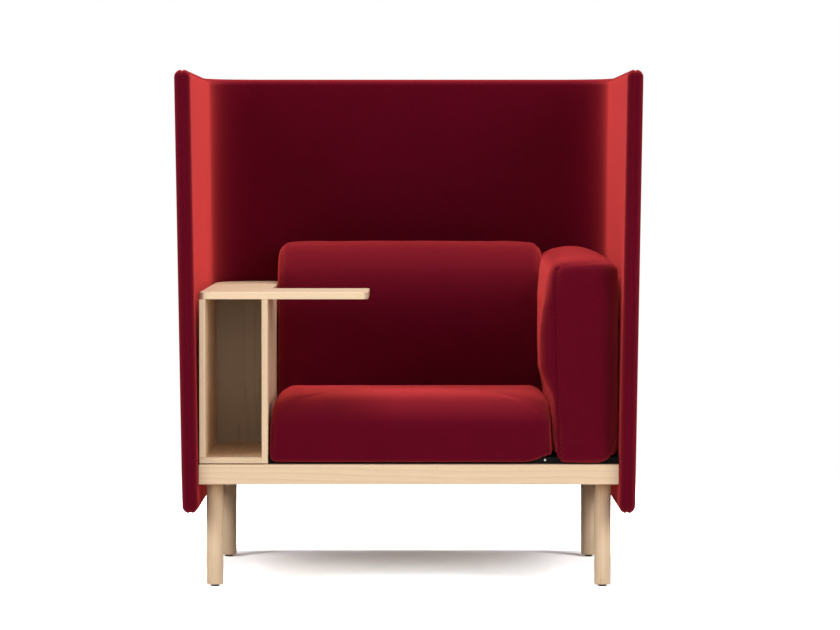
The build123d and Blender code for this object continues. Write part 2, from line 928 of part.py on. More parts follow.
def arm_form():
    """Tall arm cushion, rolled at its front and pressed flat by its neighbours."""
    section = puffed_profile(
        (arm_left_x + arm_press, cushion_bottom_z),
        (arm_right_x, cushion_bottom_z + arm_side_height),
        arm_inner_swell,
        arm_crown,
        arm_roll,
    )
    form = extrude(front_plane(cushion_rear_y) * section, cushion_rear_y - arm_front_y)
    front = form.faces().sort_by(Axis.Y)[0]
    form = fillet(rim_edges(front), arm_end_roll)
    seat_top_z = seat_side_top_z + seat_crown + soft_gap
    beside_seat = block(
        seat_left_x,
        arm_left_x,
        arm_front_y - 1,
        cushion_rear_y,
        cushion_bottom_z - 1,
        seat_top_z,
    )
    beside_back = block(
        seat_left_x,
        arm_left_x,
        seat_rear_y,
        cushion_rear_y + 1,
        cushion_bottom_z - 1,
        shell_height,
    )
    return form - outside_corner_of_screen() - beside_seat - beside_back


def foam(x_low, x_high, y_low, y_high, z_low, z_high, gap):
    """A foam block inside a cover, with the margin that the padding takes."""
    space = foam_margin - gap
    return block(
        x_low + space,
        x_high - space,
        y_low + space,
        y_high - space,
        z_low + space,
        z_high - space,
    )


def make_cushions():
    """Each cushion is a padded cover round a foam block."""
    bottom = cushion_bottom_z
    back_low_y = back_front_y + back_lean
    back_top_z = bottom + back_side_height
    arm_rear_y = cushion_rear_y - shell_inner_corner
    arm_top_z = bottom + arm_side_height
    seat_box = (seat_left_x, seat_right_x, seat_front_y, seat_rear_y, bottom, seat_side_top_z)
    back_box = (seat_left_x, seat_right_x, back_low_y, cushion_rear_y, bottom, back_top_z)
    arm_box = (arm_left_x, arm_right_x, arm_front_y, arm_rear_y, bottom, arm_top_z)
    forms = (
        ("seat_cushion", seat_form(), seat_box),
        ("back_cushion", back_form(), back_box),
        ("arm_cushion", arm_form(), arm_box),
    )
    parts = {}
    for name, form, box in forms:
        parts[name + "_cover"] = form - foam(*box, foam_gap)
        parts[name + "_foam"] = foam(*box, 0)
    return parts


# --- the whole chair ------------------------------------------------------------------


def make_chair():
    """Every node of the chair, by name."""
    parts = {}
    for make in (
        make_shell,
        make_shell_fixings,
        make_frame,
        make_legs,
        make_platform,
        make_shelf,
        make_table,
        make_cushions,
    ):
        parts.update(make())
    return parts


os.makedirs("parts", exist_ok=True)
for node, shape in make_chair().items():
    export_step(shape, f"parts/{node}.step")
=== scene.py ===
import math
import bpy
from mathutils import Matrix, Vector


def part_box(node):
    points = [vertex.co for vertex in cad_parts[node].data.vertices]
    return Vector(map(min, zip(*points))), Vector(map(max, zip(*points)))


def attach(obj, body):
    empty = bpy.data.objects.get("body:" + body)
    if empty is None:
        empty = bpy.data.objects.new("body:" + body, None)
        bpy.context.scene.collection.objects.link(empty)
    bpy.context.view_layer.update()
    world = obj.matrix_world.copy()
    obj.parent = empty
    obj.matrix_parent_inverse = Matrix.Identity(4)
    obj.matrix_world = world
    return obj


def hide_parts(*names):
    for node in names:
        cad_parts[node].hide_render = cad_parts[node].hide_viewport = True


bl_info = {
    "name": "Acoustic high back lounge chair",
    "version": (1, 0, 0),
    "blender": (4, 5, 0),
    "location": "3D View > Sidebar > Chair",
    "description": "Builds the pieces of a lounge chair with a padded screen round a wooden frame",
    "category": "Object",
}

import bmesh
import bpy
from bpy.props import FloatProperty, FloatVectorProperty, IntProperty, PointerProperty
from mathutils import Euler, Matrix, Vector, noise
from mathutils.bvhtree import BVHTree
from mathutils.geometry import intersect_point_line

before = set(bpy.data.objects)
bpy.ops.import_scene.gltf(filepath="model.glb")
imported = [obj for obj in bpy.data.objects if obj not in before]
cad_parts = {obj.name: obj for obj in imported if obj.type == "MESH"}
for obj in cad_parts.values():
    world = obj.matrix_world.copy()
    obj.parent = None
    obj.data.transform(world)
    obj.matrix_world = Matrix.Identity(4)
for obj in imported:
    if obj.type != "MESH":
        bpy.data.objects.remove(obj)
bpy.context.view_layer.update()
mm = 0.001


# --- settings -------------------------------------------------------------------------


def length(name, description, default):
    return FloatProperty(name=name, description=description, default=default, min=0.0, unit="LENGTH")


def power(name, description, default):
    return FloatProperty(name=name, description=description, default=default, min=0.0)


def colour(name, description, default):
    return FloatVectorProperty(
        name=name, description=description, default=default, min=0.0, max=1.0, size=3, subtype="COLOR"
    )


class ChairScreenSettings(bpy.types.PropertyGroup):
    thickness: length("Thickness", "Padding, board and cloth together", 36.5 * mm)
    rim: length("Rim rounding", "Radius of the soft edge", 17 * mm)
    corner: length("Inner corner", "Plan radius inside, at the lower edge", 105 * mm)
    flare: FloatProperty(
        name="Flare", description="Outward lean of each wall", default=math.radians(1), subtype="ANGLE"
    )
    seam: length("Seam depth", "How deep the seam lies in the rim", 2.6 * mm)


class ChairCushionSettings(bpy.types.PropertyGroup):
    cloth: colour("Wool", "Colour of the wool cloth", (0.096, 0.0005, 0.0120))
    nap: colour("Nap", "Colour of the cloth's raised fibres", (1.0, 0.094, 0.086))
    voxel: length("Mesh", "Size of the remeshed cells", 7 * mm)
    pressure: power("Pressure", "How hard the filling pushes", 4.0)
    reach: length("Reach", "How far the filling may push the cloth", 4 * mm)
    stitch: length("Stitch", "Length of one stitch", 7 * mm)
    thread: length("Thread", "Thickness of the thread", 1.9 * mm)


class ChairWoodSettings(bpy.types.PropertyGroup):
    pale: colour("Pale wood", "Early wood of the ash", (0.87, 0.635, 0.415))
    streak: colour("Grain", "Late wood and pores of the ash", (0.70, 0.47, 0.28))
    edge: length("Edge rounding", "Radius of the boards' edges", 1.4 * mm)
    leg_edge: length("Leg rounding", "Radius round each leg's foot", 2.2 * mm)
    steps: IntProperty(name="Steps", description="Sides of a turned leg", default=72, min=12)


class ChairStageSettings(bpy.types.PropertyGroup):
    floor: colour("Floor", "Colour of the floor", (0.77, 0.80, 0.83))
    key: power("Top light", "Power of the light above", 78.0)
    left: power("Left light", "Power of the light on the left", 55.0)
    right: power("Right light", "Power of the light on the right", 60.0)
    fill: power("Front light", "Power of the light in front", 38.0)
    air: power("Room light", "Strength of the light all round", 0.07)
    shown: power("Floor gain", "How much paler the floor looks than it is", 4.7)
    open_floor: length("Open floor", "Distance from the chair at which the floor is plain white", 2.6)


SETTINGS = (
    ("chair_screen", ChairScreenSettings),
    ("chair_cushion", ChairCushionSettings),
    ("chair_wood", ChairWoodSettings),
    ("chair_stage", ChairStageSettings),
)


# --- node helpers ---------------------------------------------------------------------


class Nodes:
    """Builds one material's node tree, with the surface shader already in place."""

    def __init__(self, name):
        self.material = bpy.data.materials.new(name)
        self.material.use_nodes = True
        self.tree = self.material.node_tree
        self.tree.nodes.clear()
        self.output = self.tree.nodes.new("ShaderNodeOutputMaterial")
        self.shader = self.tree.nodes.new("ShaderNodeBsdfPrincipled")
        self.feed(self.output.inputs["Surface"], self.shader.outputs[0])

    def feed(self, socket, value):
        """Joins an output to the socket, or sets the socket's own value."""
        if isinstance(value, bpy.types.NodeSocket):
            self.tree.links.new(value, socket)
        else:
            socket.default_value = (*value, 1.0)[:4] if socket.type == "RGBA" else value

    def put(self, kind, inputs=(), **settings):
        """A node of this kind. inputs holds (socket, value or output) pairs."""
        node = self.tree.nodes.new("ShaderNode" + kind)
        for key, value in settings.items():
            setattr(node, key, value)
        for socket, value in inputs:
            self.feed(node.inputs[socket], value)
        return node

    def math(self, operation, *values):
        return self.put("Math", enumerate(values), operation=operation).outputs[0]

    def vector(self, operation, vector, value):
        """Adds to a vector or scales it."""
        socket = "Scale" if operation == "SCALE" else 1
        return self.put("VectorMath", [(0, vector), (socket, value)], operation=operation).outputs[0]

    def place(self):
        return self.put("TexCoord").outputs["Object"]

    def stretched(self, scale, turn=(0, 0, 0), vector=None):
        """A turned and stretched place: the object's own, unless another is given."""
        pairs = [("Vector", vector or self.place()), ("Rotation", turn), ("Scale", scale)]
        return self.put("Mapping", pairs).outputs[0]

    def noise(self, vector, scale, detail=2.0, roughness=0.5):
        pairs = [("Vector", vector), ("Scale", scale), ("Detail", detail), ("Roughness", roughness)]
        return self.put("TexNoise", pairs).outputs["Fac"]

    def ramp(self, value, low, high, first=0.0, last=1.0):
        pairs = [("Value", value), ("From Min", low), ("From Max", high)]
        return self.put("MapRange", pairs + [("To Min", first), ("To Max", last)]).outputs[0]

    def mix(self, share, first, second, blend="MIX"):
        node = self.put("Mix", data_type="RGBA", blend_type=blend)
        for socket, value in ((0, share), (6, first), (7, second)):
            self.feed(node.inputs[socket], value)
        return node.outputs[2]

    def bump(self, height, distance, strength=1.0, normal=None):
        pairs = [("Height", height), ("Distance", distance), ("Strength", strength)]
        if normal is not None:
            pairs.append(("Normal", normal))
        return self.put("Bump", pairs).outputs[0]

    def finish(self, colour, roughness, normal=None, **fixed):
        """Gives the surface shader its colour, roughness, relief and fixed values."""
        fixed.update(Base_Color=colour, Roughness=roughness, Normal=normal)
        for socket, value in fixed.items():
            if value is not None:
                self.feed(self.shader.inputs[socket.replace("_", " ")], value)
        return self.material


def shade(plain, factor):
    """A darker or paler tone of a colour."""
    return tuple(min(1.0, channel * factor) for channel in plain)


# --- materials ------------------------------------------------------------------------


def wool_cloth(name):
    """Plain-woven wool with a short nap: yarns with painted shade in the weave's hollows, flecks and soft
    mottling.
    """
    wool = bpy.context.scene.chair_cushion
    n = Nodes(name)
    yarn_pitch = 1.5 * mm
    wobble = n.vector("SCALE", n.noise(n.place(), 160.0, 2.0), 0.9 * mm)
    turned = n.vector("SCALE", n.vector("ADD", n.place(), wobble), 2 * math.pi / yarn_pitch)
    axes = n.put("SeparateXYZ", [(0, turned)])
    waves = [n.math("SINE", axes.outputs[k]) for k in range(3)]
    facing = n.put("SeparateXYZ", [(0, n.put("NewGeometry").outputs["Normal"])])
    shares = [n.math("POWER", n.math("ABSOLUTE", facing.outputs[k]), 4.0) for k in range(3)]
    checks = [n.math("MULTIPLY", waves[k - 2], waves[k - 1]) for k in range(3)]
    crossed = [n.math("MULTIPLY", shares[k], checks[k]) for k in range(3)]
    added, total = (n.math("ADD", n.math("ADD", a, b), c) for a, b, c in (crossed, shares))
    weave = n.math("DIVIDE", added, total)
    flecks = n.noise(n.place(), 620.0, 3.0, 0.7)
    mottle = n.noise(n.stretched((0.6, 0.6, 1.0)), 150.0, 4.0, 0.7)
    drift = n.noise(n.place(), 7.0, 2.0)
    dark = n.mix(n.ramp(flecks, 0.34, 0.68), shade(wool.cloth, 0.62), shade(wool.cloth, 1.26))
    worn = n.mix(n.ramp(mottle, 0.32, 0.68), shade(wool.cloth, 0.70), shade(wool.cloth, 1.34))
    # painted shade: the cloth is darker where the weave lies low, in the hollows between the yarns
    weave_hollow_shade = n.ramp(weave, -1.0, 0.4, 0.88, 1.0)
    painted_weave_shade = n.put("CombineColor", [(k, weave_hollow_shade) for k in range(3)]).outputs[0]
    base = n.mix(1.0, n.mix(0.5, dark, worn), painted_weave_shade, "MULTIPLY")
    base = n.mix(n.ramp(drift, 0.3, 0.7, 0.0, 0.35), base, shade(wool.cloth, 1.2))
    normal = n.bump(n.noise(n.place(), 1500.0, 2.0, 0.8), 0.35 * mm, 0.6)
    normal = n.bump(weave, 0.12 * mm, 0.5, normal)
    normal = n.bump(n.noise(n.place(), 90.0, 3.0), 0.3 * mm, 0.5, normal)
    return n.finish(
        base,
        n.ramp(flecks, 0.2, 0.8, 0.86, 1.0),
        normal,
        Sheen_Weight=0.96,
        Sheen_Roughness=0.56,
        Sheen_Tint=wool.nap,
        Specular_IOR_Level=0.0,
    )


def sewing_thread(name):
    """Twisted thread, painted far darker than the cloth: painted shade along the stitches."""
    wool = bpy.context.scene.chair_cushion
    n = Nodes(name)
    slanted = n.stretched((1, 1, 1), turn=(0.6, 0.4, 0))
    ply = n.put("TexWave", [("Vector", slanted), ("Scale", 620.0), ("Distortion", 1.5)]).outputs["Fac"]
    # painted shade: the thread is the cloth's colour darkened to between 0.15 and 0.5, so that the
    # stitches show as dark dashes
    base = n.mix(ply, shade(wool.cloth, 0.15), shade(wool.cloth, 0.5))
    return n.finish(base, 0.9, n.bump(ply, 0.12 * mm), Specular_IOR_Level=0.05)


# Turns that lay the grain's own axis, Z, along each axis of the chair.
TURNS = {"X": (0, math.pi / 2, 0), "Y": (math.pi / 2, 0, 0), "Z": (0, 0, 0)}


def ash_wood(name, along, heart, tone=1.0, rings=62.0, painted_light_edge_y=None):
    """Lacquered ash: growth rings round a heart line, fine fibres and short open pores.

    along is the grain's axis, heart the line's place across it, in metres. In front of
    painted_light_edge_y, in metres, the board has a paler strip: a painted highlight on the lit front
    edge.
    """
    wood = bpy.context.scene.chair_wood
    n = Nodes(name)
    turned = n.stretched((1, 1, 1), turn=TURNS[along])
    aside = n.vector("ADD", turned, (*heart, 0.0))
    slow = n.stretched((1.0, 1.0, 0.16), vector=aside)
    drift = n.noise(slow, 7.0, 3.0, 0.55)
    bent = n.vector("ADD", aside, n.vector("SCALE", drift, 0.035))
    flat = n.stretched((1.0, 1.0, 0.03), vector=bent)
    waves = n.put(
        "TexWave",
        [("Vector", flat), ("Scale", rings), ("Distortion", 1.6), ("Detail", 2.0), ("Detail Scale", 1.4)],
        wave_type="RINGS",
        rings_direction="Z",
        wave_profile="SAW",
    ).outputs["Fac"]
    fibres = n.noise(n.stretched((1.0, 1.0, 0.022), vector=aside), 640.0, 4.0, 0.65)
    pore_place = n.stretched((1.0, 1.0, 0.075), vector=aside)
    pores = n.put("TexVoronoi", [("Vector", pore_place), ("Scale", 760.0)]).outputs["Distance"]
    late = n.math("POWER", waves, 2.4)
    pale = shade(wood.pale, tone)
    streak = shade(wood.streak, tone)
    base = n.mix(n.math("MULTIPLY", late, 0.62), pale, streak)
    base = n.mix(n.ramp(fibres, 0.36, 0.66, 0.0, 0.34), base, shade(streak, 1.08))
    clouds = n.noise(slow, 16.0, 2.0)
    base = n.mix(n.ramp(clouds, 0.35, 0.7, 0.0, 0.30), base, shade(pale, 1.05))
    pits = n.math("MULTIPLY", n.ramp(pores, 0.10, 0.26, 1.0, 0.0), n.ramp(late, 0.30, 0.75))
    base = n.mix(n.math("MULTIPLY", pits, 0.55), base, shade(streak, 0.5))
    # painted highlight: a paler strip of ash along the board's front edge, where the light falls on it
    if painted_light_edge_y is not None:
        depth = n.put("SeparateXYZ", [(0, n.place())]).outputs["Y"]
        strip = n.ramp(depth, painted_light_edge_y - 0.3 * mm, painted_light_edge_y, 1.0, 0.0)
        solid = n.mix(n.ramp(fibres, 0.36, 0.66, 0.0, 0.5), shade(wood.pale, 1.08), wood.pale)
        base = n.mix(strip, base, solid)
    normal = n.bump(fibres, 0.05 * mm, 0.5)
    normal = n.bump(n.math("SUBTRACT", 1.0, pits), 0.09 * mm, 0.7, normal)
    rough = n.ramp(fibres, 0.3, 0.7, 0.42, 0.56)
    return n.finish(base, rough, normal, Specular_IOR_Level=0.38, Coat_Weight=0.06, Coat_Roughness=0.4)


def stained_board(name):
    """Black stain on open-grained board."""
    n = Nodes(name)
    grain = n.noise(n.stretched((0.05, 1, 1)), 380.0, 4.0, 0.6)
    dust = n.noise(n.place(), 60.0, 3.0)
    base = n.mix(n.ramp(grain, 0.3, 0.7), (0.004, 0.0035, 0.0035), (0.012, 0.011, 0.010))
    base = n.mix(n.ramp(dust, 0.5, 0.8, 0.0, 0.3), base, (0.020, 0.018, 0.017))
    normal = n.bump(grain, 0.08 * mm, 0.6)
    return n.finish(base, n.ramp(grain, 0.3, 0.7, 0.72, 0.86), normal, Specular_IOR_Level=0.06)


def moulded_nylon(name):
    """Matt black plastic with scuffs."""
    n = Nodes(name)
    grains = n.noise(n.place(), 1900.0, 3.0, 0.6)
    scuffs = n.noise(n.stretched((1, 1, 0.2)), 240.0, 4.0, 0.7)
    base = n.mix(n.ramp(scuffs, 0.45, 0.75), (0.012, 0.0115, 0.011), (0.045, 0.043, 0.041))
    return n.finish(base, n.ramp(scuffs, 0.3, 0.7, 0.38, 0.6), n.bump(grains, 0.05 * mm, 0.7))


def plated_steel(name):
    """Zinc-plated steel with fine turning marks."""
    n = Nodes(name)
    haze = n.noise(n.place(), 420.0, 3.0)
    turned = n.noise(n.stretched((1, 1, 0.04)), 900.0, 3.0)
    base = n.mix(n.ramp(haze, 0.3, 0.7), (0.50, 0.50, 0.51), (0.68, 0.68, 0.70))
    rough = n.ramp(turned, 0.2, 0.8, 0.22, 0.42)
    return n.finish(base, rough, n.bump(turned, 0.02 * mm, 0.5), Metallic=1.0)


def powder_coat(name):
    """Black powder coat with a slight peel."""
    n = Nodes(name)
    peel = n.noise(n.place(), 900.0, 2.0)
    dust = n.noise(n.place(), 130.0, 4.0)
    base = n.mix(n.ramp(dust, 0.4, 0.75), (0.012, 0.012, 0.013), (0.028, 0.028, 0.030))
    return n.finish(base, n.ramp(peel, 0.3, 0.7, 0.42, 0.55), n.bump(peel, 0.06 * mm, 0.6))


def plain_ply(name):
    """Bare plywood."""
    n = Nodes(name)
    plies = n.noise(n.stretched((1, 1, 0.02)), 420.0, 4.0, 0.6)
    base = n.mix(n.ramp(plies, 0.3, 0.7), (0.55, 0.38, 0.22), (0.70, 0.52, 0.33))
    return n.finish(base, 0.62, n.bump(plies, 0.06 * mm, 0.6))


def cut_foam(name):
    """Open-celled foam."""
    n = Nodes(name)
    cells = n.put("TexVoronoi", [("Vector", n.place()), ("Scale", 720.0)]).outputs["Distance"]
    base = n.mix(cells, (0.55, 0.50, 0.36), (0.80, 0.75, 0.58))
    return n.finish(base, 0.95, n.bump(cells, 0.4 * mm))


def pressed_fibre(name):
    """Fibre strip, near black: the spacer under the shelf, its black painted shade for the shadow gap
    there.
    """
    n = Nodes(name)
    hairs = n.noise(n.stretched((1, 0.2, 1)), 900.0, 4.0, 0.7)
    base = n.mix(n.ramp(hairs, 0.3, 0.7), (0.010, 0.009, 0.008), (0.03, 0.027, 0.024))
    return n.finish(base, 0.92, n.bump(hairs, 0.2 * mm))


# --- mesh helpers ---------------------------------------------------------------------


def bend_edges(bm, edges, radius, segments):
    """Rounds these edges."""
    bmesh.ops.bevel(
        bm,
        geom=edges,
        offset=radius,
        segments=segments,
        profile=0.5,
        affect="EDGES",
        clamp_overlap=True,
        material=-1,
    )


def block_mesh(low, high):
    """A bmesh box between two corners."""
    bm = bmesh.new()
    bmesh.ops.create_cube(bm, size=1.0)
    low, high = Vector(low), Vector(high)
    bmesh.ops.scale(bm, vec=high - low, verts=bm.verts)
    bmesh.ops.translate(bm, vec=(low + high) / 2, verts=bm.verts)
    return bm


def along(edge, axis):
    """True for a straight edge that runs along this axis."""
    way = (edge.verts[1].co - edge.verts[0].co).normalized()
    return abs(way[axis]) > 0.99


def sharp_edges(bm):
    """The edges at which the surface turns by more than about 70 degrees."""
    return [edge for edge in bm.edges if edge.calc_face_angle(0) > 1.2]


def upright_at(bm, x, y):
    """The upright edge of a block that is nearest to this place."""
    upright = [edge for edge in bm.edges if along(edge, 2)]
    return min(upright, key=lambda edge: (edge.verts[0].co.xy - Vector((x, y))).length)


def raised(bm, part, height):
    """Extrudes a part of the mesh upwards and returns its new points."""
    grown = bmesh.ops.extrude_face_region(bm, geom=part)["geom"]
    top = [item for item in grown if isinstance(item, bmesh.types.BMVert)]
    bmesh.ops.translate(bm, vec=(0, 0, height), verts=top)
    return top


def linked(name, data):
    """A new object in the scene."""
    item = bpy.data.objects.new(name, data)
    bpy.context.scene.collection.objects.link(item)
    return item


def as_mesh(name, bm):
    """A mesh from a bmesh, which is freed."""
    mesh = bpy.data.meshes.new(name)
    bm.to_mesh(mesh)
    bm.free()
    return mesh


def as_piece(name, bm, material, body="chair", replaces=(), weighted=True):
    """Turns a bmesh into a finished piece that rides on a body and stands for CAD nodes."""
    bmesh.ops.recalc_face_normals(bm, faces=bm.faces)
    mesh = as_mesh(name, bm)
    mesh.materials.append(material)
    for polygon in mesh.polygons:
        polygon.use_smooth = True
    piece = linked(name, mesh)
    if weighted:
        finish = piece.modifiers.new("weighted normals", "WEIGHTED_NORMAL")
        finish.weight = 100
    dress(piece, body, replaces)
    return piece


def dress(piece, body="chair", replaces=()):
    """Says what the piece moves with and what it stands for."""
    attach(piece, body)
    if replaces:
        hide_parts(*replaces)


def paint(material, *nodes):
    """Gives CAD nodes that stay in view their finish."""
    for node in nodes:
        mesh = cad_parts[node].data
        mesh.materials.clear()
        mesh.materials.append(material)


def eased_board(low, high, radius, segments=3):
    """A bmesh box with rounded edges."""
    bm = block_mesh(low, high)
    bend_edges(bm, bm.edges[:], radius, segments)
    return bm


# --- soft pieces ----------------------------------------------------------------------


def share(value, low, high):
    """Where a value lies between two others, from 0 to 1."""
    return min(1.0, max(0.0, (value - low) / (high - low)))


def smooth_step(value):
    value = share(value, 0.0, 1.0)
    return value * value * (3 - 2 * value)


def fallen(distance, reach, drop):
    """How far a rolled edge has dropped at this distance from its end."""
    return drop * (1 - math.sqrt(1 - (1 - share(distance, 0.0, reach)) ** 2))


def loose(place, size):
    """The slight unevenness of a stuffed cover."""
    return size * noise.noise(place * 7.0) + 0.4 * size * noise.noise(place * 19.0)


def top_edges(bm, height):
    """The front and rear edges of a block's top."""
    return [e for e in bm.edges if along(e, 0) and e.verts[0].co.z > height - mm]


def at_distance(axis, value):
    """A seam's line where one coordinate has this value."""
    return lambda co: abs(co[axis] - value)


def remeshed(bm, name, voxel):
    """An object with an even mesh of this cell size over the shape."""
    bmesh.ops.recalc_face_normals(bm, faces=bm.faces)
    piece = linked(name, as_mesh(name, bm))
    even = piece.modifiers.new("even", "REMESH")
    even.mode = "VOXEL"
    even.voxel_size = voxel
    even.use_smooth_shade = True
    bake(piece)
    return piece


def bake(piece):
    """Applies the piece's modifiers to its mesh."""
    graph = bpy.context.evaluated_depsgraph_get()
    graph.update()
    mesh = bpy.data.meshes.new_from_object(piece.evaluated_get(graph), depsgraph=graph)
    old = piece.data
    piece.modifiers.clear()
    piece.data = mesh
    mesh.name = piece.name
    bpy.data.meshes.remove(old)


def inflate(piece, low, high, held, frames=20):
    """Lets a filling push the cloth out, then limits how far each point has moved."""
    cushion = bpy.context.scene.chair_cushion
    start = [vertex.co.copy() for vertex in piece.data.vertices]
    pins = piece.vertex_groups.new(name="held")
    pins.add([number for number, place in enumerate(start) if held(place)], 1.0, "ADD")
    cover = piece.modifiers.new("cover", "CLOTH")
    cloth = cover.settings
    cloth.quality = 5
    cloth.mass = 0.25
    cloth.tension_stiffness = 12
    cloth.compression_stiffness = 12
    cloth.shear_stiffness = 6
    cloth.bending_stiffness = 0.6
    cloth.vertex_group_mass = "held"
    cloth.use_pressure = True
    cloth.uniform_pressure_force = cushion.pressure
    cloth.effector_weights.gravity = 0.0
    cover.collision_settings.use_collision = False
    cover.point_cache.frame_start = 1
    cover.point_cache.frame_end = frames
    for number in range(1, frames + 1):
        bpy.context.scene.frame_set(number)
    bake(piece)
    bpy.context.scene.frame_set(1)
    piece.vertex_groups.clear()
    for vertex, place in zip(piece.data.vertices, start):
        move = vertex.co - place
        if move.length > cushion.reach:
            move *= cushion.reach / move.length
        vertex.co = place + move
        vertex.co.x = min(high.x, max(min(place.x, low.x), vertex.co.x))
        vertex.co.y = min(high.y, vertex.co.y)
        vertex.co.z = max(min(place.z, low.z), vertex.co.z)


def reshape(piece, change):
    for vertex in piece.data.vertices:
        vertex.co = change(vertex.co.copy())


def relax(piece, rounds=3):
    """Smooths the mesh a little."""
    axes = {"use_axis_" + axis: True for axis in "xyz"}
    bm = bmesh.new()
    bm.from_mesh(piece.data)
    for _ in range(rounds):
        bmesh.ops.smooth_vert(bm, verts=bm.verts, factor=0.5, **axes)
    bm.to_mesh(piece.data)
    bm.free()


def refine(piece):
    """Divides each face once more."""
    finer = piece.modifiers.new("finer", "SUBSURF")
    finer.levels = 1
    finer.render_levels = 1
    bake(piece)
    for polygon in piece.data.polygons:
        polygon.use_smooth = True


def hollow(distance, depth, width):
    """Depth of a sewn groove at this distance from its line."""
    return depth * math.exp(-((distance / width) ** 2))


def fill_out(piece, low, high, change):
    """Shapes a cushion in its box, swells its cover and refines it."""
    held_z, held_y = low.z + 12 * mm, high.y - 8 * mm
    reshape(piece, change)
    relax(piece)
    inflate(piece, low, high, lambda co: co.z < held_z or co.y > held_y)
    refine(piece)


def hang(piece, end_x):
    """Lets the foot of a cushion's front sag over the edge of the board, up to an end on the right."""
    board_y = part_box("seat_platform")[0].y - 1 * mm
    out, drop, height, fade = 13 * mm, 13 * mm, 44 * mm, 62 * mm
    foot = min(vertex.co.z for vertex in piece.data.vertices)
    for vertex in piece.data.vertices:
        near = smooth_step((board_y + 14 * mm - vertex.co.y) / (10 * mm))
        near *= 1 - share(vertex.co.z, foot, foot + height)
        near *= smooth_step((end_x - vertex.co.x) / fade)
        vertex.co.y -= out * near
        if vertex.co.y < board_y:
            vertex.co.z -= drop * near


def sew(piece, seams):
    """Sinks the surface along seams, each the distance to its line, a depth and a width."""
    vertices = piece.data.vertices
    normals = [vertex.normal.copy() for vertex in vertices]
    for vertex, normal in zip(vertices, normals):
        vertex.co -= normal * sum(hollow(line(vertex.co), depth, width) for line, depth, width in seams)


def sew_ends(piece, low, high, depth):
    """The seams round a cushion's two end panels."""
    ends = (at_distance(0, low.x + 11 * mm), at_distance(0, high.x - 12 * mm))
    sew(piece, [(line, depth, 2.2 * mm) for line in ends])


def finish_cushion(piece, name):
    """Gives a cushion its cloth and body, and hides the CAD cover it stands for."""
    piece.data.materials.clear()
    piece.data.materials.append(bpy.data.materials["cushion_wool"])
    dress(piece, "chair", (name + "_cover",))


# --- operators ------------------------------------------------------------------------


class ChairScreen(bpy.types.Operator):
    """Padded U-shaped screen with a soft rim and one seam round it"""

    bl_idname = "chair.screen"
    bl_label = "Screen"

    def execute(self, context):
        s = context.scene.chair_screen
        low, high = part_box("shell_outer_upholstery")
        lean = math.tan(s.flare)
        height = high.z - low.z
        half = high.x - (height - s.rim) * lean - s.thickness
        rear = high.y - (height - s.rim) * lean - s.thickness
        side_cuts, rear_cuts, height_cuts = 16, 20, 24
        bm = bmesh.new()
        bm.verts.new((-half, low.y, low.z))
        self.run(bm, (0, rear - s.corner - low.y, 0), side_cuts)
        self.turn(bm, (-half + s.corner, rear - s.corner, low.z))
        self.run(bm, (2 * (half - s.corner), 0, 0), rear_cuts)
        self.turn(bm, (half - s.corner, rear - s.corner, low.z))
        self.run(bm, (0, -(rear - s.corner - low.y), 0), side_cuts)
        grown = bmesh.ops.extrude_edge_only(bm, edges=bm.edges)["geom"]
        top = [part for part in grown if isinstance(part, bmesh.types.BMVert)]
        bmesh.ops.translate(bm, vec=(0, 0, height), verts=top)
        spread = height * lean
        factor = ((half + spread) / half, (rear - low.y + spread) / (rear - low.y), 1)
        bmesh.ops.scale(bm, vec=factor, space=Matrix.Translation((0, -low.y, 0)), verts=top)
        upright = [edge for edge in bm.edges if abs(edge.verts[0].co.z - edge.verts[1].co.z) > height / 2]
        bmesh.ops.subdivide_edges(bm, edges=upright, cuts=height_cuts, use_grid_fill=True)
        bmesh.ops.recalc_face_normals(bm, faces=bm.faces)
        outward = sum(face.normal.x * face.calc_center_median().x for face in bm.faces) >= 0
        if outward:
            bmesh.ops.reverse_faces(bm, faces=bm.faces)
        bmesh.ops.solidify(bm, geom=bm.faces[:], thickness=s.thickness)
        bmesh.ops.recalc_face_normals(bm, faces=bm.faces)
        bend_edges(bm, sharp_edges(bm), s.rim, 8)
        reach = rear - s.corner
        beside_seam, slope = 4.9 * mm, 3.9 * mm

        def from_middle(co):
            """Distance in plan from the middle of the padded wall."""
            spread = (co.z - low.z) * lean
            aside = max(0.0, abs(co.x) - (half - s.corner + spread))
            behind = max(0.0, co.y - (reach + spread))
            return abs(math.hypot(aside, behind) - s.corner - s.thickness / 2)

        strip = [face for face in bm.faces if all(from_middle(v.co) < beside_seam for v in face.verts)]
        bmesh.ops.inset_region(bm, faces=strip, thickness=slope, depth=-s.seam, use_even_offset=True)
        cloth = wool_cloth("screen_wool")
        nodes = ("shell_inner_upholstery", "shell_outer_upholstery")
        piece = as_piece("screen_upholstery", bm, cloth, replaces=nodes)
        return {"FINISHED"}

    def last(self, bm):
        bm.verts.ensure_lookup_table()
        return bm.verts[-1]

    def run(self, bm, step, cuts):
        """Draws a straight part of the plan and divides it."""
        end = bmesh.ops.extrude_vert_indiv(bm, verts=[self.last(bm)])
        bmesh.ops.translate(bm, vec=step, verts=end["verts"])
        tip = end["verts"][0]
        where = tip.co.copy()
        bmesh.ops.subdivide_edges(bm, edges=end["edges"], cuts=cuts)
        self.order(bm, where)

    def turn(self, bm, centre):
        """Sweeps the plan's last point round a corner."""
        tip = self.last(bm)
        swept = bmesh.ops.spin(
            bm, geom=[tip], cent=centre, axis=(0, 0, -1), angle=math.pi / 2, steps=14, use_duplicate=False
        )
        where = swept["geom_last"][0].co.copy()
        self.order(bm, where)

    def order(self, bm, where):
        """Puts the point at this place last, so that the plan goes on from it."""
        bm.verts.index_update()
        for vert in bm.verts:
            vert.index = 1 if (vert.co - where).length < 1e-6 else 0
        bm.verts.sort()


